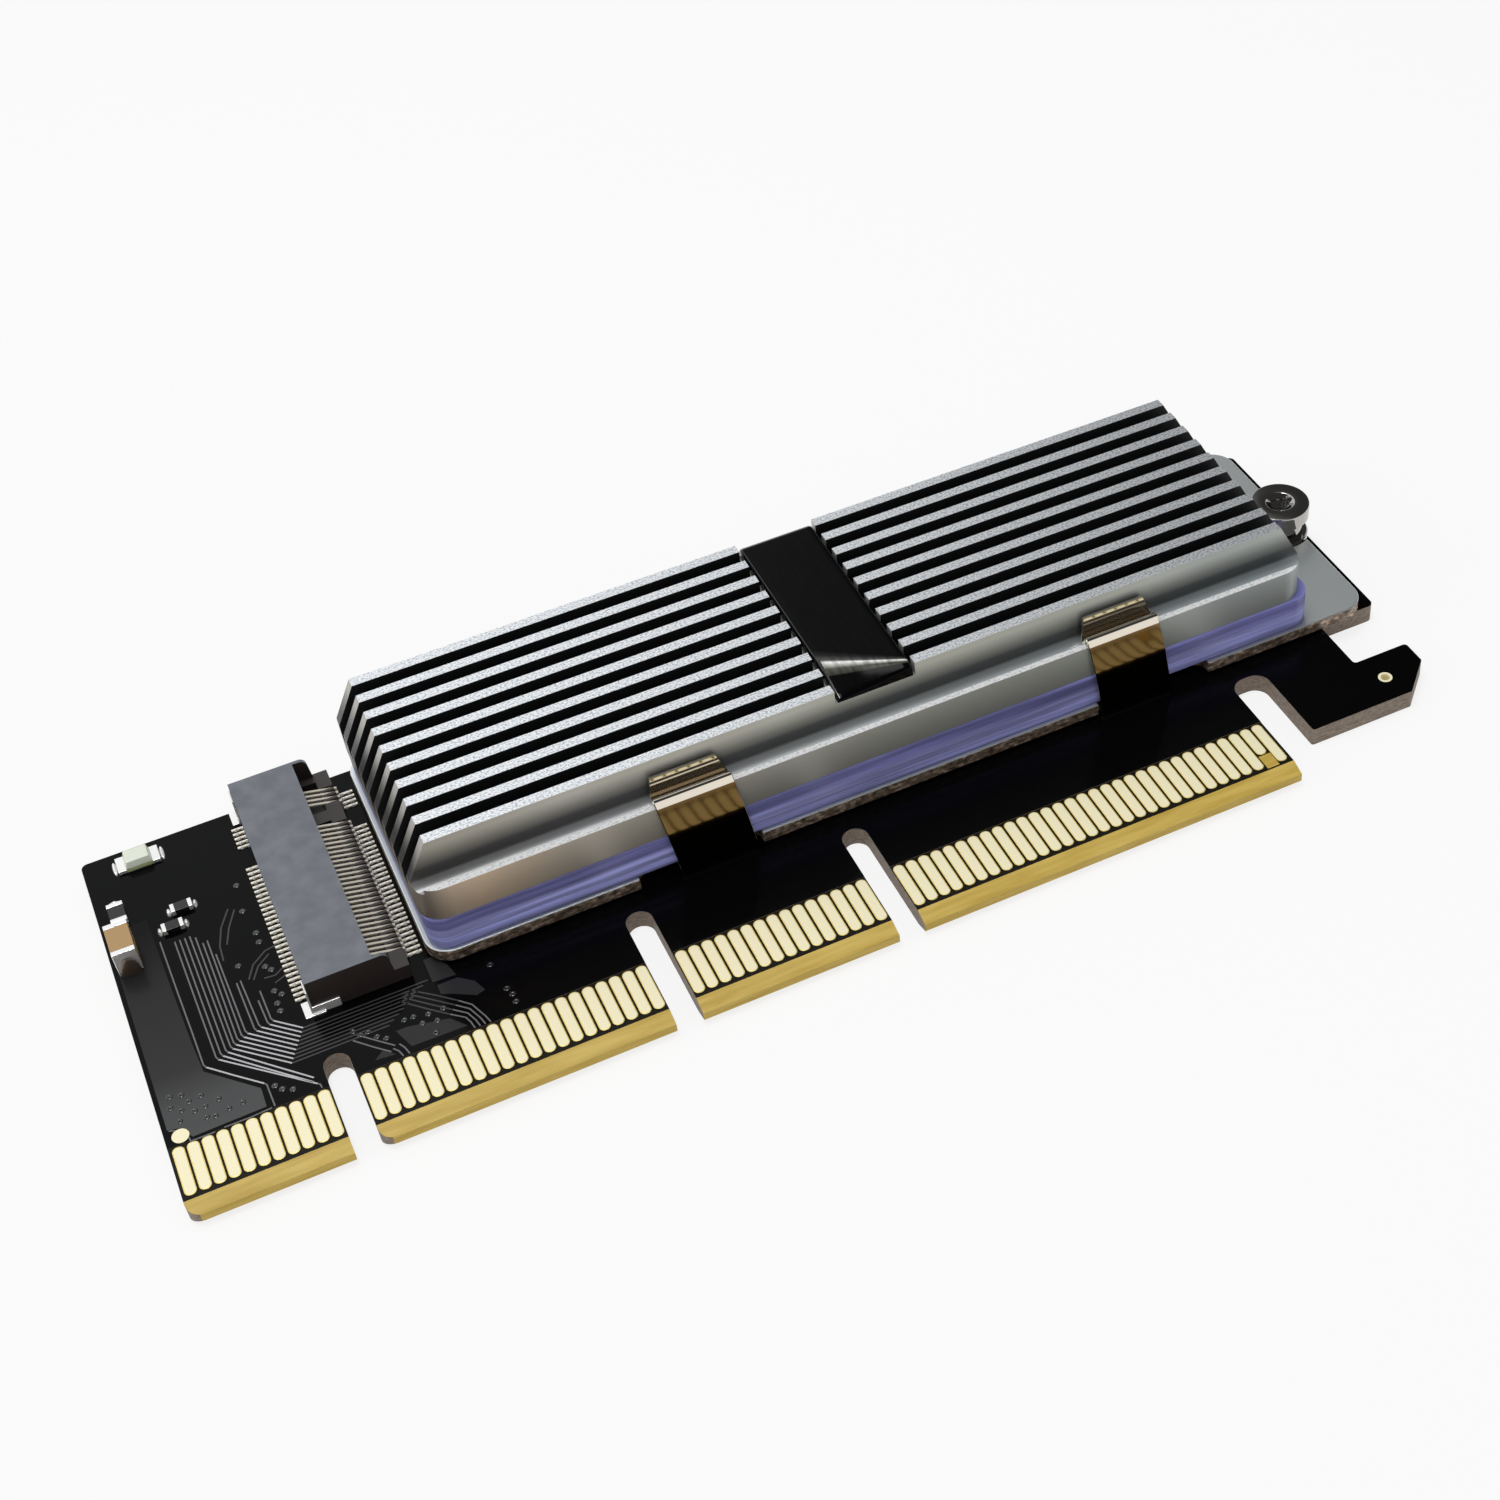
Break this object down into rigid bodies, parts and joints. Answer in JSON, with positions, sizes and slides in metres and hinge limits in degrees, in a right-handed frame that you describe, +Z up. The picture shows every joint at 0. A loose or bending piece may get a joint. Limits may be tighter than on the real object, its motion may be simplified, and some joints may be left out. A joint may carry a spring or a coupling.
{
  "type": "nvme adapter card",
  "caption": "Edge-connector adapter card with a socket for a small storage module, held under a clipped, finned heatsink stack and a threaded standoff.",
  "frame": {"origin": "middle of the board's outline, on its underside", "axes": "+X along the edge contacts from the socket to the latch hook, +Y from the contact edge to the far edge, +Z up out of the component side"},
  "size_m": [0.099, 0.0348, 0.012],
  "materials": {
    "board_lacquer": "glossy black solder lacquer over laminate",
    "gold_plating": "bright gold plating on copper",
    "socket_plastic": "satin dark grey moulded plastic",
    "tin": "bright tin plating and solder",
    "led_base": "pale moulded base",
    "led_lens": "milky clear resin",
    "capacitor_ceramic": "plain tan ceramic",
    "resistor_glaze": "black glaze",
    "nickel_plating": "mirror nickel plating",
    "bare_aluminium": "stamped bare sheet",
    "thermal_pad": "soft periwinkle silicone",
    "dark_aluminium": "grey anodised, fin tips brushed bright",
    "label_film": "glossy black film, bare"
  },
  "bodies": {
    "root": {"circuit_board": "board_lacquer", "front_edge_contacts": "gold_plating", "back_edge_contacts": "gold_plating", "corner_test_pad": "gold_plating", "hook_eyelet": "gold_plating", "socket_housing": "socket_plastic", "socket_lower_contacts": "gold_plating", "socket_upper_contacts": "gold_plating", "socket_near_hold_down": "tin", "socket_far_hold_down": "tin", "status_led_body": "led_base", "status_led_lens": "led_lens", "status_led_terminals": "tin", "capacitor_body": "capacitor_ceramic", "capacitor_terminals": "tin", "first_resistor_body": "resistor_glaze", "first_resistor_terminals": "tin", "second_resistor_body": "resistor_glaze", "second_resistor_terminals": "tin", "side_resistor_body": "resistor_glaze", "side_resistor_terminals": "tin", "chip_solder_joints": "tin", "standoff": "nickel_plating", "base_plate": "bare_aluminium", "lower_thermal_pad": "thermal_pad", "upper_thermal_pad": "thermal_pad", "heatsink_cover": "dark_aluminium", "label_strip": "label_film", "left_clip": "nickel_plating", "right_clip": "nickel_plating"}
  },
  "joints": []
}
